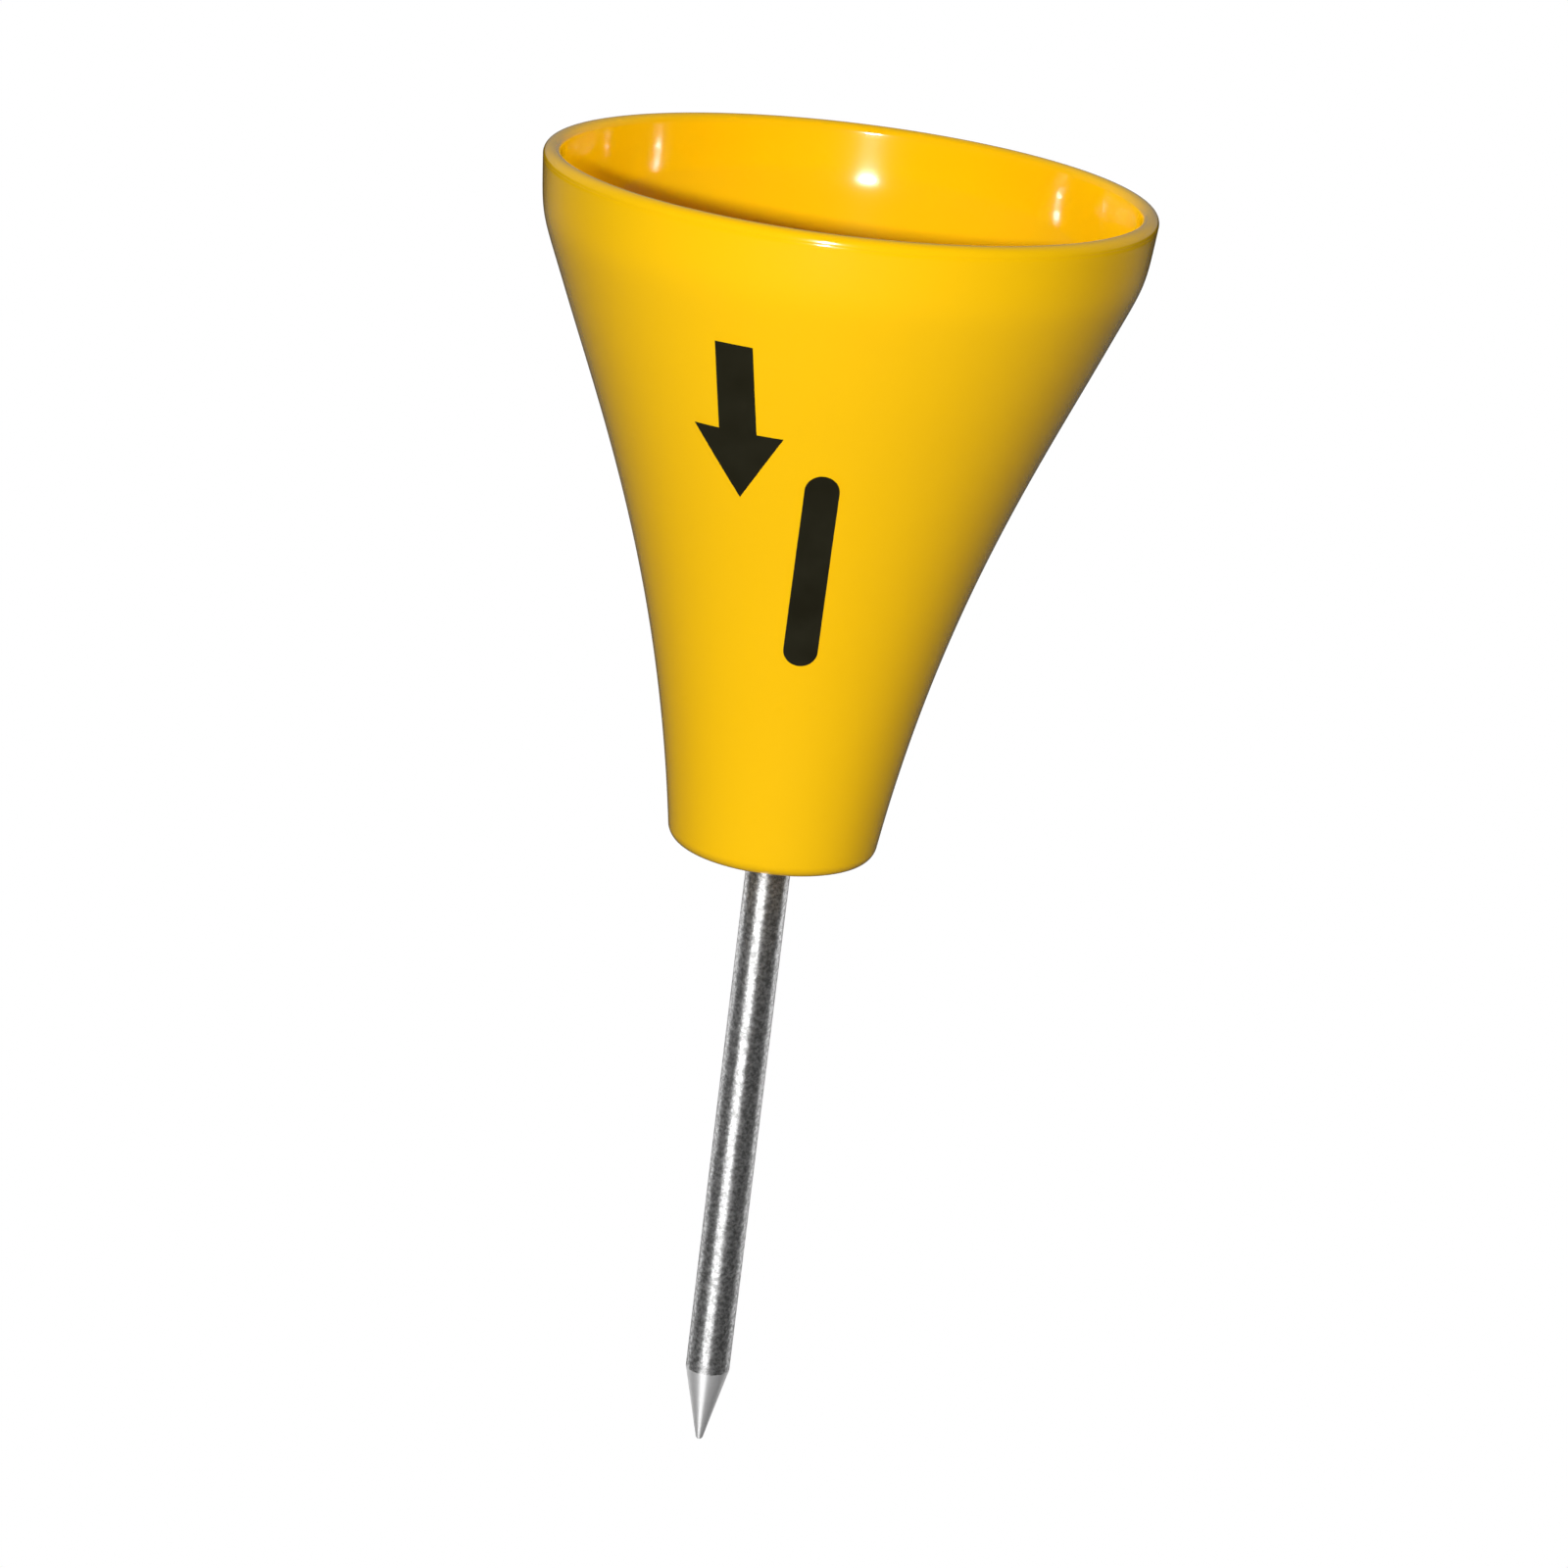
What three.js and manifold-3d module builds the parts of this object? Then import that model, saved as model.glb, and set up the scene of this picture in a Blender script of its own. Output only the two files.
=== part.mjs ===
// Broken-tee holder for a golf teeing ground: a tee-shaped plastic cup on a steel ground spike.
// Millimetres, +Z up. The origin is on the spike's axis, at the flat underside of the cup, which
// is also the ground line when the spike is pushed home. The marks on the wall face -Y.

import * as THREE from 'three';
import { mergeVertices } from 'three/addons/utils/BufferGeometryUtils.js';
import Module from 'manifold-3d';

const wasm = await Module();
wasm.setup();

// Cup: outer shape
const RIM_RADIUS = 63;
const CUP_HEIGHT = 144;
const WALL = 3.7;
const BASE_FLAT_RADIUS = 18.7;
const BASE_CORNER_RADIUS = 3.5;
const BASE_SLOPE = 8; // degrees from vertical, where the wall leaves the base corner
const SHOULDER = new THREE.Vector2(56, 115.8); // where the flare turns into the shoulder
const SHOULDER_SLOPE = 22;
const RIM_SLOPE = 5;
const BASE_HANDLE = 54; // lengths of the curve handles along those slopes
const FLARE_HANDLE = 28.7;
const SHOULDER_HANDLE = 16.7;
const RIM_HANDLE = 13.3;

// Cup: floor
const FLOOR = 6;
const FLOOR_FILLET = 2.5;
const RECESS_RADIUS = 9.6; // round recess in the underside that takes the base washer
const RECESS_DEPTH = 2.5;
const SPIKE_HOLE_RADIUS = 4.3;
const DRAIN_COUNT = 4;
const DRAIN_RADIUS = 2.2;
const DRAIN_CIRCLE = 14;

// Ground spike and its fixings, on 5/16 in hardware sizes
const ROD_RADIUS = 4.76;
const SPIKE_DEPTH = 137;
const POINT_LENGTH = 17;
const POINT_TIP_RADIUS = 0.85;
const STUB_RADIUS = 3.9;
const STUB_CHAMFER = 0.8;
const STUB_BEYOND_NUT = 2.6;
const BASE_WASHER = { inner: 4.3, outer: 8.7, thickness: 1.6 };
const FLOOR_WASHER = { inner: 4.3, outer: 11.1, thickness: 1.6 };
const LOCK_WASHER = { inner: 4.25, outer: 7.4, thickness: 2, gapDegrees: 16 };
const NUT = { inner: 4.25, acrossFlats: 12.7, height: 6.7, chamferSlope: 30 };
const CLEARANCE = 0.3; // left between pieces that touch

// Marks: thin films on the cup's wall
const FILM_THICKNESS = 0.4;
const ARROW = { azimuth: -19.5, top: 118.5, bottom: 85, width: 19, headHeight: 14.5, shaftWidth: 8 };
const BAR = { azimuth: 2, top: 92.5, bottom: 49, width: 7 };

// Facets
const CUP_SEGMENTS = 48;
const ROUND_SEGMENTS = 32;
const FLARE_STEPS = 11;
const SHOULDER_STEPS = 8;
const LIP_STEPS = 4; // in each quarter of the rounded lip
const CORNER_STEPS = 4;
const FILLET_STEPS = 3;

const YELLOW_PLASTIC = { color: 0xffc808, roughness: 0.28, metalness: 0 };
const BRIGHT_STEEL = { color: 0xa8a8a6, roughness: 0.42, metalness: 1 };
const ZINC_PLATE = { color: 0xb9bcc0, roughness: 0.35, metalness: 1 };
const BLACK_FILM = { color: 0x23210f, roughness: 0.6, metalness: 0 };

const radians = THREE.MathUtils.degToRad;

function mesh(name, geometry, look) {
  const piece = new THREE.Mesh(geometry, new THREE.MeshStandardMaterial(look));
  piece.name = name;
  return piece;
}

// A profile of (radius, height) points, run anticlockwise, turned about Z.
function turned(points, segments) {
  const geometry = new THREE.LatheGeometry(points, segments);
  geometry.rotateX(Math.PI / 2);
  return geometry;
}

function closedRing(points, segments) {
  return turned([...points, points[0].clone()], segments);
}

function arcPoints(centre, radius, fromDegrees, toDegrees, steps) {
  return Array.from({ length: steps + 1 }, (_, i) => {
    const angle = radians(fromDegrees + (toDegrees - fromDegrees) * i / steps);
    return new THREE.Vector2(centre.x + radius * Math.cos(angle), centre.y + radius * Math.sin(angle));
  });
}

function solid(geometry) {
  const bare = geometry.index ? geometry.clone() : geometry;
  bare.deleteAttribute('normal');
  bare.deleteAttribute('uv');
  const merged = mergeVertices(bare, 1e-4);
  return new wasm.Manifold(new wasm.Mesh({
    numProp: 3,
    vertProperties: Float32Array.from(merged.attributes.position.array),
    triVerts: Uint32Array.from(merged.index.array),
  }));
}

function geometryOf(manifold) {
  const { vertProperties, triVerts } = manifold.getMesh();
  const geometry = new THREE.BufferGeometry();
  geometry.setAttribute('position', new THREE.BufferAttribute(Float32Array.from(vertProperties), 3));
  geometry.setIndex(new THREE.BufferAttribute(Uint32Array.from(triVerts), 1));
  return geometry;
}

// The cup's wall as two curves, and the direction (slope) of each end.
const upSlope = (degrees) => new THREE.Vector2(Math.sin(radians(degrees)), Math.cos(radians(degrees)));
const outward = (degrees) => new THREE.Vector2(Math.cos(radians(degrees)), -Math.sin(radians(degrees)));
const along = (start, direction, length) => start.clone().addScaledVector(direction, length);

const cornerCentre = new THREE.Vector2(BASE_FLAT_RADIUS, BASE_CORNER_RADIUS);
const lipCentre = new THREE.Vector2(RIM_RADIUS - WALL / 2, CUP_HEIGHT - WALL / 2);
const wallStart = along(cornerCentre, outward(BASE_SLOPE), BASE_CORNER_RADIUS);
const wallEnd = along(lipCentre, outward(RIM_SLOPE), WALL / 2);

const flare = new THREE.CubicBezierCurve(
  wallStart,
  along(wallStart, upSlope(BASE_SLOPE), BASE_HANDLE),
  along(SHOULDER, upSlope(SHOULDER_SLOPE), -FLARE_HANDLE),
  SHOULDER,
);
const shoulder = new THREE.CubicBezierCurve(
  SHOULDER,
  along(SHOULDER, upSlope(SHOULDER_SLOPE), SHOULDER_HANDLE),
  along(wallEnd, upSlope(RIM_SLOPE), -RIM_HANDLE),
  wallEnd,
);

// Points up the wall, moved outward by offset (inward when it is negative).
function wallPoints(offset) {
  const onCurve = (curve, steps, first) => Array.from({ length: steps + 1 - first }, (_, i) => {
    const t = (i + first) / steps;
    const tangent = curve.getTangent(t);
    const point = curve.getPoint(t);
    return new THREE.Vector2(point.x + offset * tangent.y, point.y - offset * tangent.x);
  });
  return [...onCurve(flare, FLARE_STEPS, 0), ...onCurve(shoulder, SHOULDER_STEPS, 1)];
}

function cupShell() {
  const inside = wallPoints(-WALL);
  const filletCentreHeight = FLOOR + FLOOR_FILLET;
  const above = inside.findIndex((point) => point.y > filletCentreHeight);
  const [low, high] = [inside[above - 1], inside[above]];
  const part = (filletCentreHeight - low.y) / (high.y - low.y);
  const wallRadius = low.x + part * (high.x - low.x);
  const filletCentre = new THREE.Vector2(
    wallRadius - FLOOR_FILLET / Math.cos(radians(BASE_SLOPE)), filletCentreHeight);
  const profile = [
    new THREE.Vector2(SPIKE_HOLE_RADIUS, RECESS_DEPTH),
    new THREE.Vector2(RECESS_RADIUS, RECESS_DEPTH),
    new THREE.Vector2(RECESS_RADIUS, 0),
    ...arcPoints(cornerCentre, BASE_CORNER_RADIUS, -90, -BASE_SLOPE, CORNER_STEPS),
    ...wallPoints(0).slice(1, -1),
    wallEnd,
    ...arcPoints(lipCentre, WALL / 2, 0, 90, LIP_STEPS),
    ...arcPoints(lipCentre, WALL / 2, 90, 180 - RIM_SLOPE, LIP_STEPS).slice(1),
    ...inside.slice(above, -1).reverse(),
    ...arcPoints(filletCentre, FLOOR_FILLET, -BASE_SLOPE, -90, FILLET_STEPS),
    new THREE.Vector2(SPIKE_HOLE_RADIUS, FLOOR),
  ];
  let cup = solid(closedRing(profile, CUP_SEGMENTS));
  for (let i = 0; i < DRAIN_COUNT; i += 1) {
    const angle = (i + 0.5) * 2 * Math.PI / DRAIN_COUNT;
    const drill = new THREE.CylinderGeometry(DRAIN_RADIUS, DRAIN_RADIUS, 3 * FLOOR, 20);
    drill.rotateX(Math.PI / 2);
    drill.translate(DRAIN_CIRCLE * Math.cos(angle), DRAIN_CIRCLE * Math.sin(angle), FLOOR / 2);
    cup = cup.subtract(solid(drill));
  }
  return mesh('cup_shell', geometryOf(cup), YELLOW_PLASTIC);
}

// Heights of the stack that clamps the floor, from the rod's shoulder upwards.
const baseWasherTop = RECESS_DEPTH - CLEARANCE;
const spikeShoulder = baseWasherTop - BASE_WASHER.thickness - CLEARANCE;
const floorWasherBottom = FLOOR + CLEARANCE;
const lockWasherBottom = floorWasherBottom + FLOOR_WASHER.thickness + CLEARANCE;
const nutBottom = lockWasherBottom + LOCK_WASHER.thickness + CLEARANCE;
const stubTop = nutBottom + NUT.height + STUB_BEYOND_NUT;

function groundSpike() {
  const tipAngle = THREE.MathUtils.radToDeg(Math.atan2(ROD_RADIUS, POINT_LENGTH));
  const tipCentre = new THREE.Vector2(0, -SPIKE_DEPTH + POINT_TIP_RADIUS);
  const tip = arcPoints(tipCentre, POINT_TIP_RADIUS, -90, -tipAngle, 3);
  tip[0].x = 0;
  return mesh('ground_spike', turned([
    ...tip,
    new THREE.Vector2(ROD_RADIUS, -SPIKE_DEPTH + POINT_LENGTH),
    new THREE.Vector2(ROD_RADIUS, spikeShoulder),
    new THREE.Vector2(STUB_RADIUS, spikeShoulder),
    new THREE.Vector2(STUB_RADIUS, stubTop - STUB_CHAMFER),
    new THREE.Vector2(STUB_RADIUS - STUB_CHAMFER, stubTop),
    new THREE.Vector2(0, stubTop),
  ], ROUND_SEGMENTS), BRIGHT_STEEL);
}

function plainWasher(name, size, bottom) {
  const top = bottom + size.thickness;
  return mesh(name, closedRing([
    new THREE.Vector2(size.inner, bottom),
    new THREE.Vector2(size.outer, bottom),
    new THREE.Vector2(size.outer, top),
    new THREE.Vector2(size.inner, top),
  ], ROUND_SEGMENTS), ZINC_PLATE);
}

// A ring cut through at one place, facing +Y.
function lockWasher() {
  const halfGap = radians(LOCK_WASHER.gapDegrees / 2);
  const from = Math.PI / 2 + halfGap;
  const to = Math.PI / 2 - halfGap + 2 * Math.PI;
  const ring = new THREE.Shape();
  ring.absarc(0, 0, LOCK_WASHER.outer, from, to, false);
  ring.absarc(0, 0, LOCK_WASHER.inner, to, from, true);
  const geometry = new THREE.ExtrudeGeometry(ring, {
    depth: LOCK_WASHER.thickness, bevelEnabled: false, curveSegments: ROUND_SEGMENTS,
  });
  const piece = mesh('lock_washer', geometry, ZINC_PLATE);
  piece.position.z = lockWasherBottom;
  return piece;
}

// A hexagon prism whose corners are turned off by a cone at both ends.
function spikeNut() {
  const cornerRadius = NUT.acrossFlats / Math.sqrt(3);
  const flatRadius = NUT.acrossFlats / 2;
  const chamfer = (cornerRadius - flatRadius) * Math.tan(radians(NUT.chamferSlope));
  const hexagon = new THREE.CylinderGeometry(cornerRadius, cornerRadius, NUT.height, 6);
  hexagon.rotateX(Math.PI / 2);
  hexagon.translate(0, 0, NUT.height / 2);
  const turnedBlank = closedRing([
    new THREE.Vector2(NUT.inner, 0),
    new THREE.Vector2(flatRadius, 0),
    new THREE.Vector2(cornerRadius + 0.01, chamfer),
    new THREE.Vector2(cornerRadius + 0.01, NUT.height - chamfer),
    new THREE.Vector2(flatRadius, NUT.height),
    new THREE.Vector2(NUT.inner, NUT.height),
  ], ROUND_SEGMENTS);
  const piece = mesh('spike_nut', geometryOf(solid(hexagon).intersect(solid(turnedBlank))), ZINC_PLATE);
  piece.position.z = nutBottom;
  return piece;
}

// Outlines of the marks, in (sideways, up).
function arrowOutline() {
  const shape = new THREE.Shape();
  const neck = ARROW.bottom + ARROW.headHeight;
  shape.moveTo(0, ARROW.bottom);
  shape.lineTo(ARROW.width / 2, neck);
  shape.lineTo(ARROW.shaftWidth / 2, neck);
  shape.lineTo(ARROW.shaftWidth / 2, ARROW.top);
  shape.lineTo(-ARROW.shaftWidth / 2, ARROW.top);
  shape.lineTo(-ARROW.shaftWidth / 2, neck);
  shape.lineTo(-ARROW.width / 2, neck);
  shape.closePath();
  return shape;
}

function barOutline() {
  const shape = new THREE.Shape();
  const radius = BAR.width / 2;
  shape.absarc(0, BAR.bottom + radius, radius, Math.PI, 2 * Math.PI, false);
  shape.absarc(0, BAR.top - radius, radius, 0, Math.PI, false);
  shape.closePath();
  return shape;
}

// The part of a film of even thickness around the whole wall that lies behind the outline.
function wallMark(name, outline, azimuth) {
  const film = solid(closedRing([
    ...wallPoints(CLEARANCE + FILM_THICKNESS),
    ...wallPoints(CLEARANCE).reverse(),
  ], CUP_SEGMENTS));
  const stencil = new THREE.ExtrudeGeometry(outline, {
    depth: 2 * RIM_RADIUS, bevelEnabled: false, curveSegments: 8,
  });
  stencil.rotateX(Math.PI / 2);
  stencil.rotateZ(radians(azimuth));
  return mesh(name, geometryOf(film.intersect(solid(stencil))), BLACK_FILM);
}

const fixings = new THREE.Group();
fixings.add(
  plainWasher('base_washer', BASE_WASHER, baseWasherTop - BASE_WASHER.thickness),
  plainWasher('floor_washer', FLOOR_WASHER, floorWasherBottom),
  lockWasher(),
  spikeNut(),
);

const teeHolder = new THREE.Group();
teeHolder.add(
  cupShell(),
  groundSpike(),
  fixings,
  wallMark('upper_mark', arrowOutline(), ARROW.azimuth),
  wallMark('lower_mark', barOutline(), BAR.azimuth),
);

export default teeHolder;
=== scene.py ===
"""Looks for the broken-tee holder: a glossy yellow tee-shaped cup on a steel ground spike.

Everything is in metres in the CAD frame: +Z up the spike's axis, origin at the cup's underside,
marks on the -Y side.
"""

import math

import bmesh
import bpy
from mathutils import Matrix, Vector


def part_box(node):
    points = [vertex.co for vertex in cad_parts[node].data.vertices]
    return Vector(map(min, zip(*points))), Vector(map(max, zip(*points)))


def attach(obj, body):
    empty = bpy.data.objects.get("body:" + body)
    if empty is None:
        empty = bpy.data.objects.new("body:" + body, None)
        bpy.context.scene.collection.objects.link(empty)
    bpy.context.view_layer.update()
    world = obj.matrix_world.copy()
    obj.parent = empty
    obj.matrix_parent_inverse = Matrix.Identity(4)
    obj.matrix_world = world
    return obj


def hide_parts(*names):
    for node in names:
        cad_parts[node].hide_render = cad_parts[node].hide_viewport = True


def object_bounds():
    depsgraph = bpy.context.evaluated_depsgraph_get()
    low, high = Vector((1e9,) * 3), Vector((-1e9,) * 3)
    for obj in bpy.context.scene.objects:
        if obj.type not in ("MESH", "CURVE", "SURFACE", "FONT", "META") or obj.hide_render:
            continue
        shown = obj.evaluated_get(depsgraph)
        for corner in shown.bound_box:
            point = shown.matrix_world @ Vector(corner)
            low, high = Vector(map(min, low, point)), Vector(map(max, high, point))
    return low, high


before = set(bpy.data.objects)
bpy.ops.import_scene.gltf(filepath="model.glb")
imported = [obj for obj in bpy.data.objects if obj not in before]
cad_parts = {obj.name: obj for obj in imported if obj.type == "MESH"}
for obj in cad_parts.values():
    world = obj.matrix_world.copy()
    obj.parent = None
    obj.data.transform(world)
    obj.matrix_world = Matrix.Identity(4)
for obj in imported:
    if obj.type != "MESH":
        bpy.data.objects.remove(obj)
cad_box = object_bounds()

MM = 0.001
TURN = 2 * math.pi

# Cup wall, as in the CAD model
RIM_RADIUS = 63 * MM
WALL = 3.7 * MM
BASE_FLAT_RADIUS = 18.7 * MM
BASE_CORNER_RADIUS = 3.5 * MM
BASE_SLOPE = math.radians(8)
SHOULDER = (56 * MM, 115.8 * MM)
SHOULDER_SLOPE = math.radians(22)
RIM_SLOPE = math.radians(5)
BASE_HANDLE = 54 * MM
FLARE_HANDLE = 28.7 * MM
SHOULDER_HANDLE = 16.7 * MM
RIM_HANDLE = 13.3 * MM

# Cup floor
FLOOR = 6 * MM
FLOOR_FILLET = 2.5 * MM
RECESS_RADIUS = 9.6 * MM
RECESS_DEPTH = 2.5 * MM
SPIKE_HOLE_RADIUS = 4.3 * MM
DRAIN_COUNT = 4
DRAIN_RADIUS = 2.2 * MM
DRAIN_CIRCLE = 14 * MM
EDGE = 0.4 * MM

PARTING_WIDTH = 0.24 * MM
PARTING_DEPTH = 0.04 * MM

# Marks
FILM = 0.12 * MM
FILM_GAP = 0.01 * MM
ARROW = {"azimuth": -19.5, "top": 118.5 * MM, "bottom": 85 * MM, "width": 19 * MM,
         "head": 14.5 * MM, "shaft": 8 * MM}
BAR = {"azimuth": 2, "top": 92.5 * MM, "bottom": 49 * MM, "width": 7 * MM}

# Ground spike
POINT_LENGTH = 17 * MM
POINT_TIP_RADIUS = 0.85 * MM
POINT_BREAK = 0.15 * MM  # height over which the point turns into the rod
SHOULDER_DROP = 2.2 * MM  # from the recess's ceiling down to the rod's shoulder
SHOULDER_EDGE = 0.3 * MM
STUB_RADIUS = 3.9 * MM
STUB_NECK = 0.5 * MM  # how far the stub is necked in below its thread
STUB_CHAMFER = 0.9 * MM
SPIKE_SEGMENTS = 96

# Thread on the spike's stub and in the nut, 5/16-18
THREAD_PITCH = 25.4 / 18 * MM
THREAD_DEPTH = 0.62 * MM
THREAD_FLAT = 0.14  # width of the flat at the crest and at the root, as a share of the pitch
THREAD_START = 0.8 * MM  # above the rod's shoulder
THREAD_ROWS_PER_TURN = 14

# Washers and nut, 5/16 in
WASHER_BORE = 4.3 * MM
WASHER_EDGE = 0.35 * MM
LOCK_WASHER_BORE = 4.25 * MM
LOCK_WASHER_EDGE = 0.2 * MM
LOCK_WASHER_HALF_GAP = math.radians(8)
LOCK_WASHER_STEPS = 90
NUT_BORE = 4.2 * MM
NUT_BORE_FLARE = 0.5 * MM
NUT_FIT = 0.15 * MM  # taken off the radius at the corners and in the bore
NUT_CHAMFER_SLOPE = math.radians(30)
NUT_STEPS_PER_SIDE = 16
NUT_OUTER_ROWS = 12
NUT_BORE_ROWS = 60


# ---------------------------------------------------------------- mesh helpers

def new_object(name, vertices, faces, material, sharp_degrees=35):
    """A smooth-shaded mesh with hard edges only where faces meet at more than sharp_degrees."""
    mesh = bpy.data.meshes.new(name)
    mesh.from_pydata(vertices, [], faces)
    work = bmesh.new()
    work.from_mesh(mesh)
    bmesh.ops.remove_doubles(work, verts=work.verts, dist=1e-7)
    bmesh.ops.recalc_face_normals(work, faces=work.faces)
    soften(work, sharp_degrees)
    work.to_mesh(mesh)
    work.free()
    piece = bpy.data.objects.new(name, mesh)
    bpy.context.scene.collection.objects.link(piece)
    for each in material if isinstance(material, (list, tuple)) else [material]:
        mesh.materials.append(each)
    return piece


def soften(work, sharp_degrees):
    limit = math.radians(sharp_degrees)
    for face in work.faces:
        face.smooth = True
    for edge in work.edges:
        edge.smooth = len(edge.link_faces) == 2 and edge.calc_face_angle(0) < limit


def arc(centre, radius, start, end, steps):
    """Points of an arc, with start and end in degrees."""
    points = []
    for i in range(steps + 1):
        angle = math.radians(start + (end - start) * i / steps)
        points.append((centre[0] + radius * math.cos(angle), centre[1] + radius * math.sin(angle)))
    return points


def rounded(corners, steps=5):
    """A closed profile of (radius, height, rounding) corners, each rounded by that much."""
    points = []
    count = len(corners)
    for i, (x, z, rounding) in enumerate(corners):
        here = Vector((x, z))
        if rounding <= 0:
            points.append((x, z))
            continue
        before = (Vector(corners[i - 1][:2]) - here).normalized() * rounding
        after = (Vector(corners[(i + 1) % count][:2]) - here).normalized() * rounding
        for k in range(steps + 1):
            t = k / steps
            point = here + before * (1 - t) ** 2 + after * t ** 2
            points.append((point.x, point.y))
    return points


def grid_faces(rows, columns, close_rows, close_columns):
    """Faces of a grid of vertices kept row by row."""
    faces = []
    for i in range(rows if close_rows else rows - 1):
        for j in range(columns if close_columns else columns - 1):
            a = i * columns + j
            b = i * columns + (j + 1) % columns
            c = ((i + 1) % rows) * columns + (j + 1) % columns
            d = ((i + 1) % rows) * columns + j
            faces.append((a, b, c, d))
    return faces


def turned(name, profile, segments, material, closed=True, sharp_degrees=35):
    """A profile of (radius, height) points turned about Z. An open profile ends on the axis."""
    vertices = []
    for i in range(segments):
        angle = TURN * i / segments
        cos, sin = math.cos(angle), math.sin(angle)
        vertices.extend((r * cos, r * sin, z) for r, z in profile)
    faces = grid_faces(segments, len(profile), True, closed)
    return new_object(name, vertices, faces, material, sharp_degrees)


def capped_sweep(name, sections, material, sharp_degrees):
    """A closed section carried through several places, with both ends shut."""
    count = len(sections[0])
    vertices = [point for section in sections for point in section]
    faces = grid_faces(len(sections), count, False, True)
    faces.append(tuple(range(count)))
    faces.append(tuple(reversed(range(len(vertices) - count, len(vertices)))))
    return new_object(name, vertices, faces, material, sharp_degrees)


def carve(piece, cutter, operation="DIFFERENCE"):
    """Cuts piece with cutter, which is then removed."""
    modifier = piece.modifiers.new("cut", "BOOLEAN")
    modifier.operation = operation
    modifier.solver = "EXACT"
    modifier.object = cutter
    depsgraph = bpy.context.evaluated_depsgraph_get()
    result = bpy.data.meshes.new_from_object(piece.evaluated_get(depsgraph))
    piece.modifiers.clear()
    piece.data = result
    bpy.data.objects.remove(cutter)


def finish_edges(piece, sharp_degrees=35):
    work = bmesh.new()
    work.from_mesh(piece.data)
    soften(work, sharp_degrees)
    work.to_mesh(piece.data)
    work.free()


# ---------------------------------------------------------------- cup wall curves

def up_slope(angle):
    return Vector((math.sin(angle), math.cos(angle)))


def outward(angle):
    return Vector((math.cos(angle), -math.sin(angle)))


CUP_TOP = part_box("cup_shell")[1].z
corner_centre = Vector((BASE_FLAT_RADIUS, BASE_CORNER_RADIUS))
lip_centre = Vector((RIM_RADIUS - WALL / 2, CUP_TOP - WALL / 2))
wall_start = corner_centre + outward(BASE_SLOPE) * BASE_CORNER_RADIUS
wall_end = lip_centre + outward(RIM_SLOPE) * WALL / 2
shoulder_point = Vector(SHOULDER)

FLARE = (wall_start, wall_start + up_slope(BASE_SLOPE) * BASE_HANDLE,
         shoulder_point - up_slope(SHOULDER_SLOPE) * FLARE_HANDLE, shoulder_point)
CURVE_IN = (shoulder_point, shoulder_point + up_slope(SHOULDER_SLOPE) * SHOULDER_HANDLE,
            wall_end - up_slope(RIM_SLOPE) * RIM_HANDLE, wall_end)


def bezier(points, t):
    """The point and the unit tangent of a cubic curve at t."""
    a, b, c, d = points
    s = 1 - t
    point = a * s ** 3 + b * 3 * s * s * t + c * 3 * s * t * t + d * t ** 3
    tangent = (b - a) * 3 * s * s + (c - b) * 6 * s * t + (d - c) * 3 * t * t
    return point, tangent.normalized()


def wall_points(offset, flare_steps=60, shoulder_steps=40):
    """Points up the outside wall, moved outward by offset."""
    points = []
    for curve, steps, first in ((FLARE, flare_steps, 0), (CURVE_IN, shoulder_steps, 1)):
        for i in range(first, steps + 1):
            point, tangent = bezier(curve, i / steps)
            points.append((point.x + offset * tangent.y, point.y - offset * tangent.x))
    return points


# ---------------------------------------------------------------- materials

def set_range(node, low, high, to_low, to_high):
    """Sets a Map Range node to carry low..high over to to_low..to_high."""
    ends = {"From Min": low, "From Max": high, "To Min": to_low, "To Max": to_high}
    for socket, value in ends.items():
        node.inputs[socket].default_value = value


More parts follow.
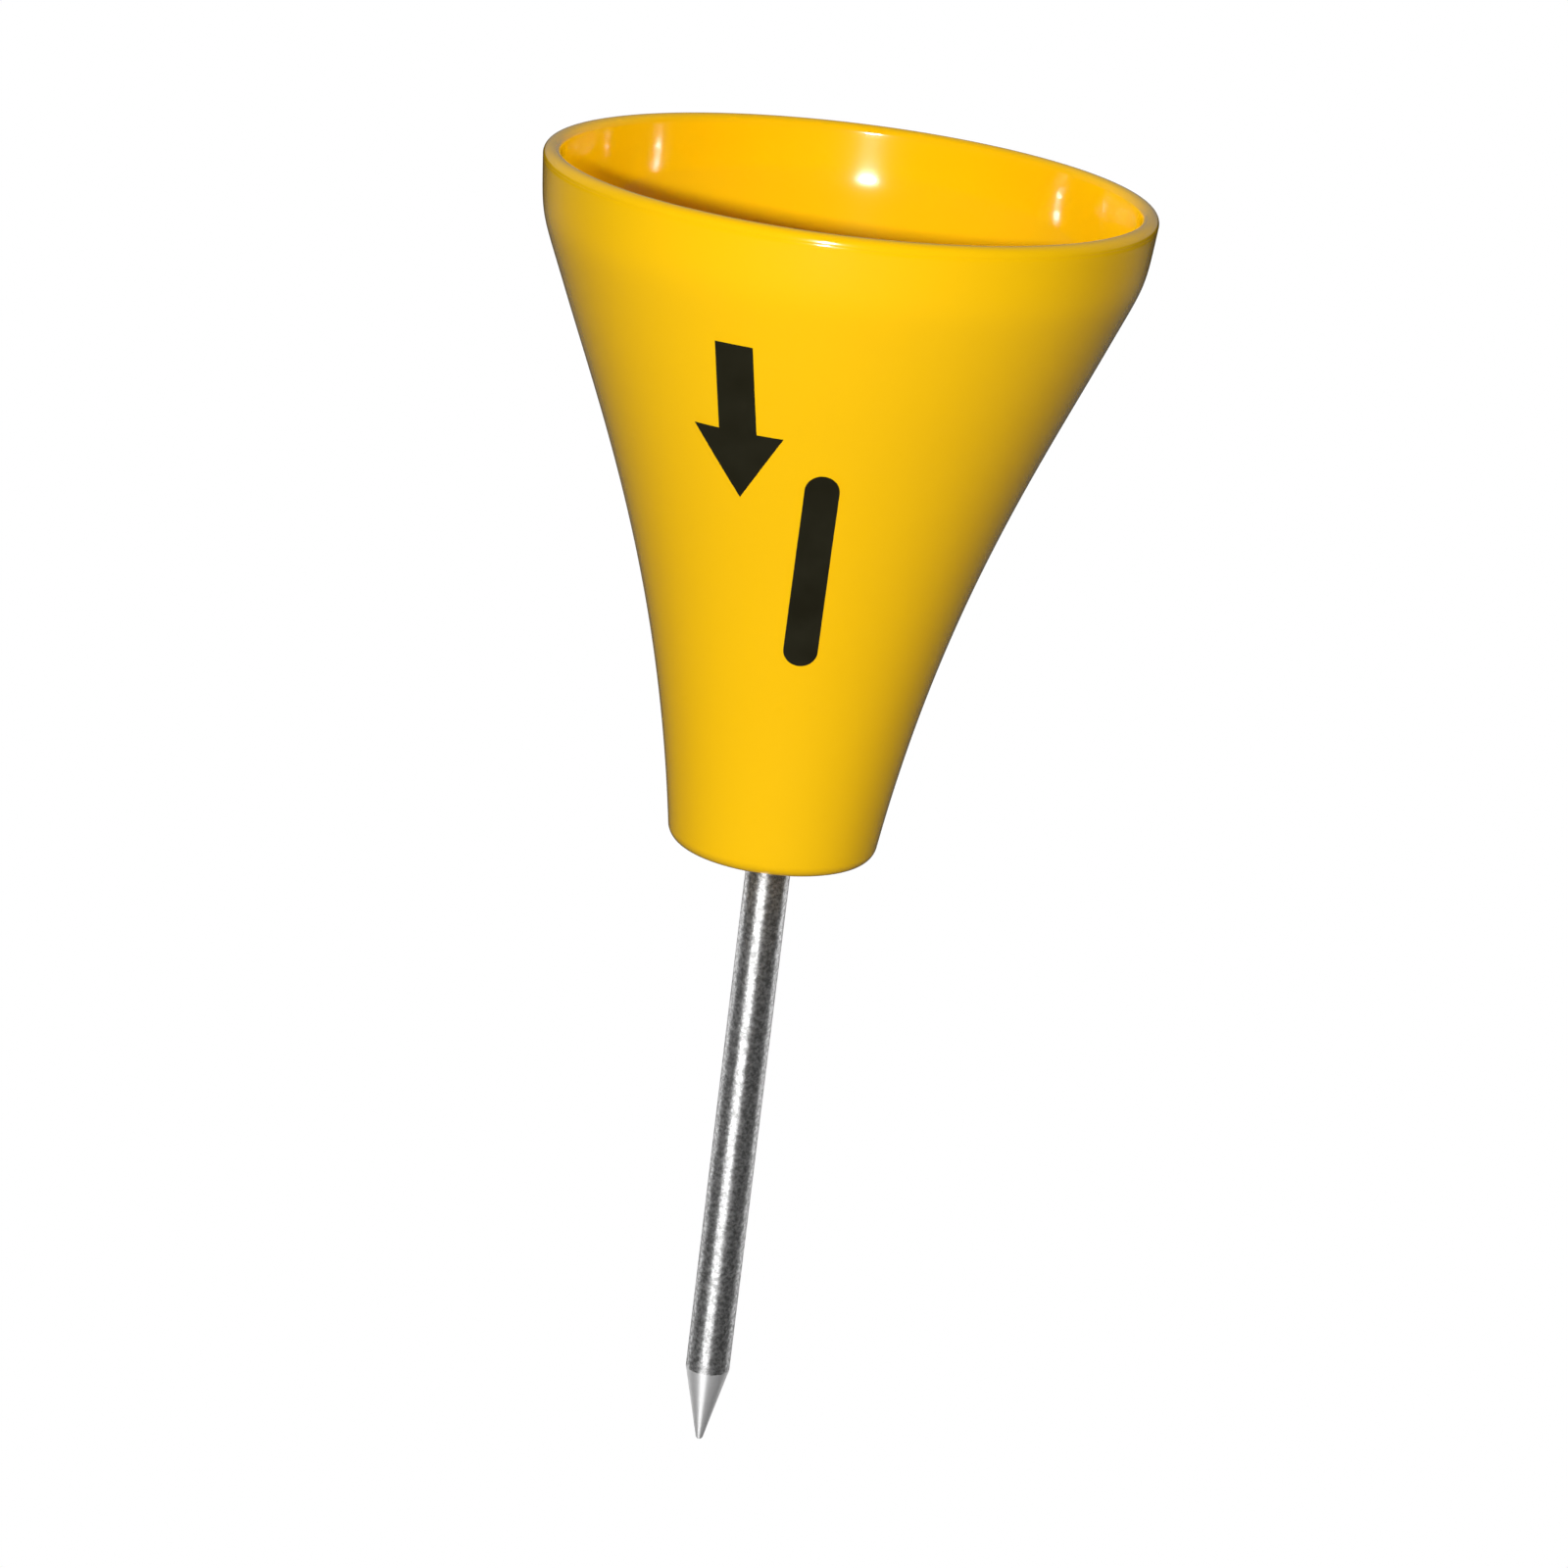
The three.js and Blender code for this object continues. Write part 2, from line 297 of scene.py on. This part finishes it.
class Nodes:
    """A small helper that adds shader nodes to one material."""

    def __init__(self, name):
        self.material = bpy.data.materials.new(name)
        self.material.use_nodes = True
        self.tree = self.material.node_tree
        self.shader = self.tree.nodes["Principled BSDF"]
        self.position = self.add("ShaderNodeTexCoord").outputs["Object"]

    def add(self, kind, **settings):
        node = self.tree.nodes.new(kind)
        for key, value in settings.items():
            setattr(node, key, value)
        return node

    def set(self, **values):
        for key, value in values.items():
            self.shader.inputs[key.replace("_", " ")].default_value = value

    def link(self, source, node, socket):
        self.tree.links.new(source, node.inputs[socket])

    def stretched(self, scale):
        node = self.add("ShaderNodeMapping")
        node.inputs["Scale"].default_value = scale
        self.link(self.position, node, "Vector")
        return node.outputs["Vector"]

    def noise(self, scale, detail=3.0, roughness=0.5, vector=None):
        node = self.add("ShaderNodeTexNoise")
        node.inputs["Scale"].default_value = scale
        node.inputs["Detail"].default_value = detail
        node.inputs["Roughness"].default_value = roughness
        self.link(vector or self.position, node, "Vector")
        return node.outputs["Fac"]

    def ramp(self, source, stops):
        node = self.add("ShaderNodeValToRGB")
        elements = node.color_ramp.elements
        while len(elements) < len(stops):
            elements.new(0.5)
        for element, (place, colour) in zip(elements, stops):
            element.position = place
            element.color = (*colour, 1)
        self.link(source, node, "Fac")
        return node.outputs["Color"]

    def span(self, source, low, high, to_low, to_high):
        node = self.add("ShaderNodeMapRange")
        set_range(node, low, high, to_low, to_high)
        self.link(source, node, "Value")
        return node.outputs["Result"]

    def bump(self, height, strength, distance, normal=None):
        node = self.add("ShaderNodeBump")
        node.inputs["Strength"].default_value = strength
        node.inputs["Distance"].default_value = distance
        self.link(height, node, "Height")
        if normal is not None:
            self.link(normal, node, "Normal")
        return node.outputs["Normal"]

    def around_axis(self):
        """The direction round Z, which brushed lines and turning marks follow."""
        return self.add("ShaderNodeTangent", direction_type="RADIAL", axis="Z").outputs["Tangent"]

    def use(self, **sources):
        for key, source in sources.items():
            self.link(source, self.shader, key.replace("_", " "))
        return self.material


def yellow_plastic():
    n = Nodes("yellow_plastic")
    cloud = n.noise(18, 2)
    colour = n.ramp(cloud, [(0.3, (0.965, 0.545, 0.001)), (0.7, (0.98, 0.56, 0.0015))])
    roughness = n.span(n.noise(60, 4), 0.35, 0.7, 0.15, 0.18)
    peel = n.bump(n.noise(420, 2), 0.08, 0.02 * MM)
    n.set(IOR=1.5, Specular_IOR_Level=0.25, Coat_Weight=1.0, Coat_Roughness=0.015, Coat_IOR=1.5)
    n.set(Anisotropic=0.55, Anisotropic_Rotation=0.25)
    n.link(n.around_axis(), n.shader, "Tangent")
    n.link(peel, n.shader, "Coat Normal")
    return n.use(Base_Color=colour, Roughness=roughness, Normal=peel)


def rod_steel():
    n = Nodes("rod_steel")
    grain = n.noise(1150, 3, 0.7)
    patch = n.noise(700, 2)
    colour = n.ramp(grain, [
        (0.38, (0.38, 0.38, 0.38)),
        (0.52, (0.66, 0.66, 0.66)),
        (0.64, (0.95, 0.95, 0.95)),
    ])
    roughness = n.span(patch, 0.3, 0.7, 0.46, 0.53)
    bumps = n.bump(grain, 0.8, 0.05 * MM)
    n.set(Metallic=0.93, Anisotropic=0.92, Anisotropic_Rotation=0.25)
    n.link(n.around_axis(), n.shader, "Tangent")
    return n.use(Base_Color=colour, Roughness=roughness, Normal=bumps)


def point_steel():
    n = Nodes("point_steel")
    rings = n.noise(60, 3, 0.6, n.stretched((1, 1, 160)))
    colour = n.ramp(rings, [(0.3, (0.8, 0.8, 0.8)), (0.7, (0.92, 0.92, 0.92))])
    roughness = n.span(rings, 0.3, 0.7, 0.5, 0.58)
    turning = n.bump(rings, 0.25, 0.02 * MM)
    n.set(Metallic=0.65, Anisotropic=0.88, Anisotropic_Rotation=0.25)
    n.link(n.around_axis(), n.shader, "Tangent")
    return n.use(Base_Color=colour, Roughness=roughness, Normal=turning)


def zinc_plate():
    n = Nodes("zinc_plate")
    cloud = n.noise(240, 4, 0.6)
    colour = n.ramp(cloud, [(0.3, (0.56, 0.58, 0.61)), (0.7, (0.72, 0.73, 0.74))])
    roughness = n.span(cloud, 0.3, 0.7, 0.24, 0.4)
    pits = n.bump(n.noise(1500, 3), 0.2, 0.02 * MM)
    n.set(Metallic=1.0)
    return n.use(Base_Color=colour, Roughness=roughness, Normal=pits)


def black_film():
    n = Nodes("black_film")
    cloud = n.noise(120, 3)
    colour = n.ramp(cloud, [(0.3, (0.012, 0.0105, 0.004)), (0.7, (0.017, 0.0155, 0.007))])
    roughness = n.span(cloud, 0.3, 0.7, 0.5, 0.62)
    grain = n.bump(n.noise(1800, 2), 0.15, 0.01 * MM)
    n.set(Specular_IOR_Level=0.15)
    return n.use(Base_Color=colour, Roughness=roughness, Normal=grain)


YELLOW = yellow_plastic()
ROD = rod_steel()
POINT = point_steel()
ZINC = zinc_plate()
BLACK = black_film()


# ---------------------------------------------------------------- pieces

def place(piece, node, slot):
    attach(piece, "root")
    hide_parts(node)
    return piece


def parting_line(wall):
    """The outside wall with the mould's fine witness groove let in just under the lip."""
    height = lip_centre.y - PARTING_WIDTH
    below = [p for p in wall if p[1] < height - PARTING_WIDTH]
    radius = RIM_RADIUS - (lip_centre.y - height) * math.tan(RIM_SLOPE)
    groove = [(radius - PARTING_WIDTH / 2 * math.tan(RIM_SLOPE), height - PARTING_WIDTH / 2),
              (radius - PARTING_DEPTH, height),
              (radius + PARTING_WIDTH / 2 * math.tan(RIM_SLOPE), height + PARTING_WIDTH / 2)]
    return below + groove


def cup():
    inside = wall_points(-WALL)
    fillet_height = FLOOR + FLOOR_FILLET
    above = [p for p in inside if p[1] > fillet_height]
    wall_radius = above[0][0]
    fillet_centre = (wall_radius - FLOOR_FILLET / math.cos(BASE_SLOPE), fillet_height)
    base_degrees = math.degrees(BASE_SLOPE)
    rim_degrees = math.degrees(RIM_SLOPE)
    profile = [
        (SPIKE_HOLE_RADIUS, FLOOR - EDGE),
        (SPIKE_HOLE_RADIUS, RECESS_DEPTH + EDGE),
        (SPIKE_HOLE_RADIUS + EDGE, RECESS_DEPTH),
        *arc((RECESS_RADIUS - EDGE, RECESS_DEPTH - EDGE), EDGE, 90, 0, 4),
        *arc((RECESS_RADIUS + EDGE, EDGE), EDGE, 180, 270, 4),
        *arc(corner_centre, BASE_CORNER_RADIUS, -90, -base_degrees, 16),
        *parting_line(wall_points(0)[1:-1]),
        *arc(lip_centre, WALL / 2, -rim_degrees, 180 - rim_degrees, 32),
        *reversed(above[:-1]),
        *arc(fillet_centre, FLOOR_FILLET, -base_degrees, -90, 10),
        (SPIKE_HOLE_RADIUS + EDGE, FLOOR),
    ]
    piece = turned("cup_shell_moulding", profile, 288, YELLOW, sharp_degrees=40)
    for i in range(DRAIN_COUNT):
        angle = (i + 0.5) * TURN / DRAIN_COUNT
        wide = DRAIN_RADIUS + 2 * EDGE
        drill = turned("drill", [
            (0, -EDGE), (wide, -EDGE), (DRAIN_RADIUS, EDGE),
            (DRAIN_RADIUS, FLOOR - EDGE), (wide, FLOOR + EDGE), (0, FLOOR + EDGE),
        ], 48, YELLOW, closed=False)
        drill.data.transform(Matrix.Translation((
            DRAIN_CIRCLE * math.cos(angle), DRAIN_CIRCLE * math.sin(angle), 0)))
        carve(piece, drill)
    finish_edges(piece, 30)
    return place(piece, "cup_shell", "yellow_plastic")


def thread_depth(turns):
    """Depth below the crest, as a share, at a place along a 60 degree thread in turns."""
    phase = turns % 1.0
    slope = abs(phase - 0.5) * 2
    return min(1.0, max(0.0, (1 - slope - THREAD_FLAT) / (1 - 2 * THREAD_FLAT)))


def stub_radius(height, share, start, end):
    """The threaded stub's radius at that height and share of a turn."""
    run_in = min(1.0, (height - start) / THREAD_PITCH)
    depth = THREAD_DEPTH * thread_depth(height / THREAD_PITCH - share)
    depth = depth * run_in + STUB_NECK * (1 - run_in)
    end_chamfer = max(0.0, height - (end - STUB_CHAMFER))
    return min(STUB_RADIUS - depth, STUB_RADIUS - end_chamfer)


def rod_profile(bottom, rod_radius, shoulder):
    """(radius, height) points from just off the tip up to the foot of the stub."""
    tip_degrees = math.degrees(math.atan2(rod_radius, POINT_LENGTH))
    tip_height = bottom + POINT_TIP_RADIUS
    tip = arc((0, tip_height), POINT_TIP_RADIUS, -90, -tip_degrees, 8)[1:]
    flank = [(POINT_TIP_RADIUS + (rod_radius - POINT_TIP_RADIUS) * share,
              tip_height + (POINT_LENGTH - POINT_TIP_RADIUS) * share)
             for share in (0.25, 0.5, 0.75, 0.985)]
    length = shoulder - bottom - POINT_LENGTH
    shaft = [(rod_radius, bottom + POINT_LENGTH + length * share) for share in (0.3, 0.6, 0.9)]
    return [
        *tip,
        *flank,
        (rod_radius, bottom + POINT_LENGTH + POINT_BREAK),
        *shaft,
        (rod_radius, shoulder - SHOULDER_EDGE),
        (rod_radius - SHOULDER_EDGE, shoulder),
        (STUB_RADIUS - STUB_NECK, shoulder),
    ]


def spike():
    low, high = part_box("ground_spike")
    shoulder = RECESS_DEPTH - SHOULDER_DROP
    start, end = shoulder + THREAD_START, high.z
    thread_rows = int((end - start) / THREAD_PITCH * THREAD_ROWS_PER_TURN)
    around = range(SPIKE_SEGMENTS)

    rings = [[r] * SPIKE_SEGMENTS for r, z in rod_profile(low.z, high.x, shoulder)]
    heights = [z for r, z in rod_profile(low.z, high.x, shoulder)]
    for i in range(thread_rows + 1):
        z = start + (end - start) * i / thread_rows
        heights.append(z)
        rings.append([stub_radius(z, j / SPIKE_SEGMENTS, start, end) for j in around])

    vertices = [(0, 0, low.z)]
    for z, ring in zip(heights, rings):
        for j in around:
            angle = TURN * j / SPIKE_SEGMENTS
            vertices.append((ring[j] * math.cos(angle), ring[j] * math.sin(angle), z))
    vertices.append((0, 0, end))

    last = len(vertices) - 1
    top_ring = last - SPIKE_SEGMENTS
    faces = [(0, 1 + (j + 1) % SPIKE_SEGMENTS, 1 + j) for j in around]
    for a, b, c, d in grid_faces(len(rings), SPIKE_SEGMENTS, False, True):
        faces.append((a + 1, b + 1, c + 1, d + 1))
    faces.extend((last, top_ring + j, top_ring + (j + 1) % SPIKE_SEGMENTS) for j in around)
    piece = new_object("ground_spike_rod", vertices, faces, [ROD, POINT], sharp_degrees=28)
    for face in piece.data.polygons:
        if face.center.z < low.z + POINT_LENGTH:
            face.material_index = 1
    return place(piece, "ground_spike", "bright_steel")


def plain_washer(node):
    low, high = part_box(node)
    profile = rounded([
        (WASHER_BORE, low.z, WASHER_EDGE / 2), (high.x, low.z, WASHER_EDGE / 2),
        (high.x, high.z, WASHER_EDGE), (WASHER_BORE, high.z, WASHER_EDGE / 2),
    ])
    return place(turned(node + "_plate", profile, 96, ZINC, sharp_degrees=50), node, "zinc_plate")


def lock_washer():
    """A ring cut through at +Y, with the faces of the cut leaning over."""
    low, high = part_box("lock_washer")
    edge = LOCK_WASHER_EDGE
    profile = rounded([
        (LOCK_WASHER_BORE, low.z, edge), (high.x, low.z, edge),
        (high.x, high.z, edge), (LOCK_WASHER_BORE, high.z, edge),
    ])
    steps = LOCK_WASHER_STEPS
    lean = LOCK_WASHER_HALF_GAP * 0.5
    sections = []
    for i in range(steps + 1):
        angle = math.pi / 2 + LOCK_WASHER_HALF_GAP + (TURN - 2 * LOCK_WASHER_HALF_GAP) * i / steps
        section = []
        for r, z in profile:
            share = (z - low.z) / (high.z - low.z) - 0.5
            a = angle + lean * share * (1 - 2 * min(i, steps - i) / steps)
            section.append((r * math.cos(a), r * math.sin(a), z))
        sections.append(section)
    return place(capped_sweep("lock_washer_ring", sections, ZINC, 40), "lock_washer", "zinc_plate")


def nut():
    """A hexagon nut with a threaded bore. Its flats face +-X and its corners +-Y."""
    low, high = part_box("spike_nut")
    half_side = math.pi / 6
    flat = (high.x - low.x) / 2
    corner = flat / math.cos(half_side)
    height = high.z - low.z
    segments = 6 * NUT_STEPS_PER_SIDE
    vertices = []
    for j in range(segments):
        angle = TURN * j / segments
        side = (angle + half_side) % (2 * half_side) - half_side
        hexagon = flat / math.cos(side)
        for i in range(NUT_OUTER_ROWS + 1):
            z = height * i / NUT_OUTER_ROWS
            cone = flat + min(z, height - z) / math.tan(NUT_CHAMFER_SLOPE)
            radius = min(hexagon, cone, corner - NUT_FIT)
            vertices.append((radius * math.cos(angle), radius * math.sin(angle), low.z + z))
        for i in range(NUT_BORE_ROWS + 1):
            z = height * (1 - i / NUT_BORE_ROWS)
            flare = max(0.0, NUT_BORE_FLARE - min(z, height - z))
            turns = (low.z + z) / THREAD_PITCH - j / segments + 0.5
            radius = NUT_BORE + flare + THREAD_DEPTH * 0.5 * thread_depth(turns) - NUT_FIT
            vertices.append((radius * math.cos(angle), radius * math.sin(angle), low.z + z))
    faces = grid_faces(segments, NUT_OUTER_ROWS + NUT_BORE_ROWS + 2, True, True)
    return place(new_object("spike_nut_hex", vertices, faces, ZINC, 22), "spike_nut", "zinc_plate")


def film_sector(name, azimuth, low, high, half_angle):
    """A thin film on the wall, between two heights, around one azimuth."""
    outer = [p for p in wall_points(FILM_GAP + FILM, 180, 100) if low <= p[1] <= high]
    inner = [p for p in wall_points(FILM_GAP, 180, 100) if low <= p[1] <= high]
    profile = outer + inner[::-1]
    steps = 60
    sections = []
    for i in range(steps + 1):
        angle = math.radians(azimuth - 90) + half_angle * (2 * i / steps - 1)
        sections.append([(r * math.cos(angle), r * math.sin(angle), z) for r, z in profile])
    return capped_sweep(name, sections, BLACK, 30)


def stencil(outline, azimuth):
    """A prism of that (sideways, up) outline, reaching out through the wall at azimuth."""
    count = len(outline)
    reach = 80 * MM
    vertices = [(x, 0.0, z) for x, z in outline] + [(x, -reach, z) for x, z in outline]
    faces = [tuple(range(count)), tuple(reversed(range(count, 2 * count)))]
    for i in range(count):
        j = (i + 1) % count
        faces.append((i, j, j + count, i + count))
    prism = new_object("stencil", vertices, faces, BLACK)
    prism.data.transform(Matrix.Rotation(math.radians(azimuth), 4, "Z"))
    return prism


def wall_mark(name, node, size, outline, half_angle):
    margin = 2 * MM
    piece = film_sector(
        name, size["azimuth"], size["bottom"] - margin, size["top"] + margin, half_angle)
    carve(piece, stencil(outline, size["azimuth"]), "INTERSECT")
    finish_edges(piece, 30)
    return place(piece, node, "black_film")


def arrow_mark():
    half, shaft = ARROW["width"] / 2, ARROW["shaft"] / 2
    neck = ARROW["bottom"] + ARROW["head"]
    outline = [(0, ARROW["bottom"]), (half, neck), (shaft, neck), (shaft, ARROW["top"]),
               (-shaft, ARROW["top"]), (-shaft, neck), (-half, neck)]
    return wall_mark("upper_mark_arrow", "upper_mark", ARROW, outline, math.radians(16))


def bar_mark():
    radius = BAR["width"] / 2
    outline = [*arc((0, BAR["bottom"] + radius), radius, 180, 360, 24),
               *arc((0, BAR["top"] - radius), radius, 0, 180, 24)]
    return wall_mark("lower_mark_bar", "lower_mark", BAR, outline, math.radians(10))


cup()
spike()
plain_washer("base_washer")
plain_washer("floor_washer")
lock_washer()
nut()
arrow_mark()
bar_mark()


# ---------------------------------------------------------------- camera

CAMERA_DISTANCE = 1.08285
CAMERA_HEIGHT = 0.3493
CAMERA_YAW = 0.00105
CAMERA_PITCH = -0.3003
CAMERA_ROLL = 0.1215
FOCAL_SHARE = 5500 / 1600  # focal length as a share of the picture's width

camera_data = bpy.data.cameras.new("camera")
camera_data.sensor_width = 36
camera_data.lens = 36 * FOCAL_SHARE
camera = bpy.data.objects.new("camera", camera_data)
bpy.context.scene.collection.objects.link(camera)
ahead = Vector((math.sin(CAMERA_YAW) * math.cos(CAMERA_PITCH),
                math.cos(CAMERA_YAW) * math.cos(CAMERA_PITCH), math.sin(CAMERA_PITCH)))
level = Vector((math.cos(CAMERA_YAW), -math.sin(CAMERA_YAW), 0))
upright = level.cross(ahead)
right = level * math.cos(CAMERA_ROLL) + upright * math.sin(CAMERA_ROLL)
top = upright * math.cos(CAMERA_ROLL) - level * math.sin(CAMERA_ROLL)
turn = Matrix((right, top, -ahead)).transposed().to_4x4()
camera.matrix_world = Matrix.Translation((0, -CAMERA_DISTANCE, CAMERA_HEIGHT)) @ turn
bpy.context.scene.camera = camera


# ---------------------------------------------------------------- floor and light

FLOOR_HALF = 8.0
FLOOR_GAP = 0.5 * MM  # below the spike's tip
FLOOR_IN_REFLECTIONS = 0.06


def white_to_camera(tree, shader, output):
    """Shows plain white where the camera looks straight at it, and shader to everything else."""
    glow = tree.nodes.new("ShaderNodeEmission")
    glow.inputs["Strength"].default_value = 1.0
    path = tree.nodes.new("ShaderNodeLightPath")
    mix = tree.nodes.new("ShaderNodeMixShader")
    tree.links.new(path.outputs["Is Camera Ray"], mix.inputs[0])
    tree.links.new(shader, mix.inputs[1])
    tree.links.new(glow.outputs[0], mix.inputs[2])
    tree.links.new(mix.outputs[0], output.inputs["Surface"])


def floor_paint():
    """Mid grey to the light on it, near black in reflections, and plain white to the camera."""
    n = Nodes("floor_paint")
    tone = n.ramp(n.noise(3, 2), [(0.3, (0.3, 0.3, 0.3)), (0.7, (0.33, 0.33, 0.33))])
    n.set(Roughness=0.9, Specular_IOR_Level=0.0)
    material = n.use(Base_Color=tone)
    dark = n.add("ShaderNodeBsdfDiffuse")
    dark.inputs["Color"].default_value = (*[FLOOR_IN_REFLECTIONS] * 3, 1)
    path = n.add("ShaderNodeLightPath")
    floor = n.add("ShaderNodeMixShader")
    n.link(path.outputs["Is Glossy Ray"], floor, 0)
    n.link(n.shader.outputs[0], floor, 1)
    n.link(dark.outputs[0], floor, 2)
    white_to_camera(n.tree, floor.outputs[0], n.tree.nodes["Material Output"])
    return material


def studio_floor():
    level = cad_box[0][2] - FLOOR_GAP
    corners = [(x * FLOOR_HALF, y * FLOOR_HALF, level) for x, y in ((-1, -1), (1, -1), (1, 1), (-1, 1))]
    floor = new_object("studio_floor", corners, [(0, 1, 2, 3)], floor_paint())


studio_floor()


def studio_world():
    """Dim pale room light. Reflections see it pale behind the object and dark in front."""
    world = bpy.data.worlds.new("studio")
    world.use_nodes = True
    tree = world.node_tree
    room = tree.nodes["Background"]
    room.inputs["Color"].default_value = (1, 1, 1, 1)
    direction = tree.nodes.new("ShaderNodeTexCoord")
    split = tree.nodes.new("ShaderNodeSeparateXYZ")
    tree.links.new(direction.outputs["Generated"], split.inputs[0])

    def fade(axis, low, high, to_low, to_high):
        node = tree.nodes.new("ShaderNodeMapRange")
        node.interpolation_type = "SMOOTHSTEP"
        set_range(node, low, high, to_low, to_high)
        tree.links.new(split.outputs[axis], node.inputs["Value"])
        return node.outputs["Result"]

    # brighter from the left than from the right, and from level than from above
    side_light = fade("X", -0.9, 0.6, 0.34, 0.14)
    overhead = fade("Z", 0.05, 0.6, 1.0, 0.2)
    soft = tree.nodes.new("ShaderNodeMath")
    soft.operation = "MULTIPLY"
    tree.links.new(side_light, soft.inputs[0])
    tree.links.new(overhead, soft.inputs[1])
    level = tree.nodes.new("ShaderNodeMix")
    path = tree.nodes.new("ShaderNodeLightPath")
    tree.links.new(path.outputs["Is Glossy Ray"], level.inputs["Factor"])
    tree.links.new(soft.outputs[0], level.inputs["A"])
    tree.links.new(fade("Y", -0.1, 0.7, 0.03, 0.2), level.inputs["B"])
    tree.links.new(level.outputs["Result"], room.inputs["Strength"])
    white_to_camera(tree, room.outputs[0], tree.nodes["World Output"])
    return world


bpy.context.scene.world = studio_world()


def soft_light(name, at, aim, width, height, watts):
    data = bpy.data.lights.new(name, "AREA")
    data.shape = "RECTANGLE"
    data.size = width
    data.size_y = height
    data.energy = watts
    light = bpy.data.objects.new(name, data)
    bpy.context.scene.collection.objects.link(light)
    light.location = at
    light.rotation_euler = (Vector(aim) - Vector(at)).to_track_quat("-Z", "Y").to_euler()
    light.visible_camera = False
    return light


def shine_only_on(light, pieces):
    group = bpy.data.collections.new(light.name + "_on")
    for piece in pieces:
        group.objects.link(piece)
    light.light_linking.receiver_collection = group


CUP_MIDDLE = (0, 0, 0.08)
SPIKE_MIDDLE = (0, 0, -0.07)
PANEL_HEIGHT = 0.37
rod = bpy.data.objects["ground_spike_rod"]
others = [each for each in bpy.context.scene.objects if each.type == "MESH" and each is not rod]
fixings = [each for each in others if ZINC.name in each.data.materials]

# The rod has lights of its own, so that its bright and dark bands don't depend on the cup's light.
key = soft_light("key", (-0.12, -1.08, 0.337), CUP_MIDDLE, width=0.11, height=0.034, watts=11.8)
shine_only_on(key, others)

for name, at, size, watts in (
    ("rear_left", (-0.75, 0.95, 0.4), 0.3, 10),
    ("rear_right", (0.75, 0.95, 0.4), 0.3, 8),
    ("overhead", (0, 0.15, 1.3), 0.5, 3),
):
    fill = soft_light(name, at, CUP_MIDDLE, size, size, watts)
    fill.visible_glossy = False

fixing_light = soft_light("fixing_light", (0.1, -0.16, 0.9), CUP_MIDDLE, 0.36, 0.36, watts=0.9)
shine_only_on(fixing_light, fixings + [rod])

spike_front = soft_light("spike_front", (-0.25, -0.77, 0.25), SPIKE_MIDDLE, 0.52, 0.4, watts=9)
shine_only_on(spike_front, [rod])

for name, side in (("spike_left", -1), ("spike_right", 1)):
    at = (side * 0.491, 0.344, PANEL_HEIGHT)
    panel = soft_light(name, at, (0, 0, PANEL_HEIGHT), width=0.38, height=1.0, watts=2.1)
    shine_only_on(panel, [rod])

cycles = bpy.context.scene.cycles
cycles.blur_glossy = 0.0
cycles.max_bounces = 16
cycles.diffuse_bounces = 10
cycles.glossy_bounces = 6
cycles.sample_clamp_indirect = 40

bpy.context.scene.view_settings.view_transform = "Standard"
